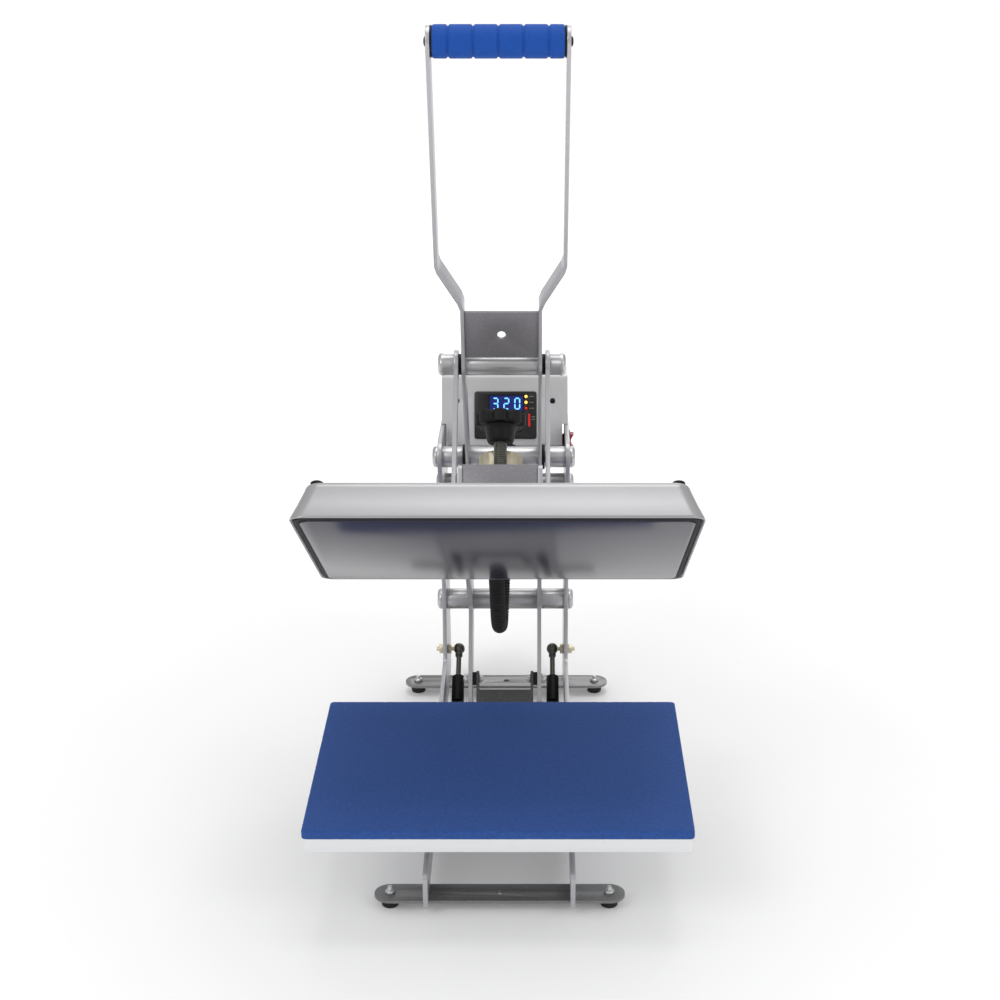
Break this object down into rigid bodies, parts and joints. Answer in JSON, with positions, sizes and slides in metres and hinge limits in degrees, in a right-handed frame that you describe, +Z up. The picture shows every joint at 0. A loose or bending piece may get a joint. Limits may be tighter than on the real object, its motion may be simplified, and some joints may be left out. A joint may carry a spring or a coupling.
{
  "type": "heat press",
  "caption": "Benchtop clamshell heat press: hinged heated upper platen, padded lower platen, toggle handle, pressure knob, gas struts and a rear temperature controller.",
  "frame": {"origin": "on the table, under the middle of the press's footprint", "axes": "+X to the press's right as seen from the front, +Y to the rear (hinge side), +Z up"},
  "size_m": [0.3966, 0.604, 0.8475],
  "materials": {
    "painted_silver": "fine metallic silver powder coat, satin",
    "painted_dark": "dark grey hammered powder coat",
    "polished_steel": "turned and lightly polished",
    "zinc_steel": "clear zinc plated",
    "yellow_zinc": "yellow zinc plated",
    "cast_aluminium": "milled edge, satin",
    "heated_aluminium": "smooth grey coating, semi-gloss",
    "blue_silicone": "matte, fine open-cell surface",
    "blue_foam": "matte foam with grooves",
    "black_rubber": "matte",
    "black_plastic": "fine moulded grain",
    "black_conduit": "corrugated, satin",
    "display_glass": "tinted window",
    "lit_blue": "lit",
    "lit_amber": "lit",
    "red_plastic": "satin",
    "insulation": "woven glass fibre",
    "circuit_board": "solder mask"
  },
  "bodies": {
    "base": {"side_plate_left": "painted_silver", "side_plate_right": "painted_silver", "foot_bars": "painted_dark", "rubber_feet": "black_rubber", "base_screws": "zinc_steel", "platen_supports": "painted_dark", "platen_tray": "cast_aluminium", "silicone_pad": "blue_silicone", "hinge_shaft": "polished_steel", "pivot_shaft": "polished_steel", "tie_rod": "polished_steel", "spacer_tubes": "polished_steel", "box_shell": "painted_silver", "box_back_cover": "painted_silver", "box_screws": "black_plastic", "display_panel": "black_plastic", "display_window": "display_glass", "display_digits": "lit_blue", "status_leds": "lit_amber", "power_inlet": "black_plastic", "control_board": "circuit_board", "strut_studs_upper": "yellow_zinc", "heater_conduit": "black_conduit"},
    "arm": {"arm_plate_left": "painted_silver", "arm_plate_right": "painted_silver", "arm_tube": "polished_steel", "arm_channel": "painted_silver", "guide_bush": "yellow_zinc", "link_bosses": "polished_steel", "tail_bracket": "painted_dark", "tail_spacers": "black_rubber", "tail_bolts": "zinc_steel", "strut_studs_lower": "yellow_zinc"},
    "platen": {"heat_plate": "heated_aluminium", "rim_seal": "black_rubber", "insulation_blanket": "insulation", "pressure_plate": "painted_dark", "cover_shell": "painted_silver", "cover_screws": "black_plastic", "guide_stud": "zinc_steel", "cable_gland": "black_plastic"},
    "knob": {"adjusting_knob": "black_plastic", "adjusting_screw": "zinc_steel"},
    "handle": {"handle_bar_left": "painted_silver", "handle_bar_right": "painted_silver", "handle_cross_plate": "painted_silver", "knee_tube": "polished_steel", "crank_tube": "polished_steel", "handle_washers": "black_plastic", "grip_tube": "polished_steel", "foam_grip": "blue_foam", "grip_screws": "black_plastic"},
    "link": {"link_plates": "painted_silver", "knee_shaft": "polished_steel"},
    "strut_rod": {"strut_rods": "zinc_steel"},
    "strut_cylinder": {"strut_cylinders": "black_plastic"},
    "rocker": {"rocker_switch": "red_plastic"},
    "button_down": {"key_down": "black_plastic"},
    "button_set": {"key_set": "black_plastic"},
    "button_up": {"key_up": "black_plastic"}
  },
  "joints": [
    {"name": "arm_hinge", "type": "hinge", "parent": "base", "child": "arm", "pos_m": [0, 0.2112, 0.1421], "axis": [1, 0, 0], "range_deg": [0, 34], "stiffness_Nm_per_rad": 25, "springref_deg": -126.05, "deforming": ["heater_conduit"]},
    {"name": "handle_hinge", "type": "hinge", "parent": "base", "child": "handle", "pos_m": [0, 0.162, 0.342], "axis": [1, 0, 0], "range_deg": [0, 87.5]},
    {"name": "knee_hinge", "type": "hinge", "parent": "handle", "child": "link", "pos_m": [0, 0.077, 0.4775], "axis": [1, 0, 0], "range_deg": [-101.5, 0]},
    {"name": "strut_hinge", "type": "hinge", "parent": "base", "child": "strut_rod", "pos_m": [0, 0.213, 0.074], "axis": [1, 0, 0], "range_deg": [0, 62]},
    {"name": "strut_slide", "type": "slide", "parent": "strut_rod", "child": "strut_cylinder", "axis": [0, -0.8521, -0.5234], "range_m": [-0.02, 0]},
    {"name": "platen_slide", "type": "slide", "parent": "arm", "child": "platen", "axis": [0, 0.5592, 0.829], "range_m": [0, 0.005]},
    {"name": "knob_turn", "type": "hinge", "parent": "platen", "child": "knob", "pos_m": [0, -0.04403, 0.42752], "axis": [0, 0.5592, 0.829], "range_deg": [0, 905]},
    {"name": "rocker_tilt", "type": "hinge", "parent": "base", "child": "rocker", "pos_m": [0.0738, 0.25, 0.333], "axis": [0, 1, 0], "range_deg": [0, 10]},
    {"name": "down_press", "type": "slide", "parent": "base", "child": "button_down", "axis": [0, 0.945, -0.3271], "range_m": [0, 0.0006], "stiffness_N_per_m": 400},
    {"name": "set_press", "type": "slide", "parent": "base", "child": "button_set", "axis": [0, 0.945, -0.3271], "range_m": [0, 0.0006], "stiffness_N_per_m": 400},
    {"name": "up_press", "type": "slide", "parent": "base", "child": "button_up", "axis": [0, 0.945, -0.3271], "range_m": [0, 0.0006], "stiffness_N_per_m": 400}
  ],
  "couplings": [
    {"joint": "handle_hinge", "follows": "arm_hinge", "ratio": 2.57},
    {"joint": "knee_hinge", "follows": "arm_hinge", "ratio": -2.979},
    {"joint": "strut_hinge", "follows": "arm_hinge", "ratio": 1.8215},
    {"joint": "strut_slide", "follows": "arm_hinge", "m_per_rad": -0.0335},
    {"joint": "knob_turn", "follows": "platen_slide", "rad_per_m": 3141.6}
  ]
}
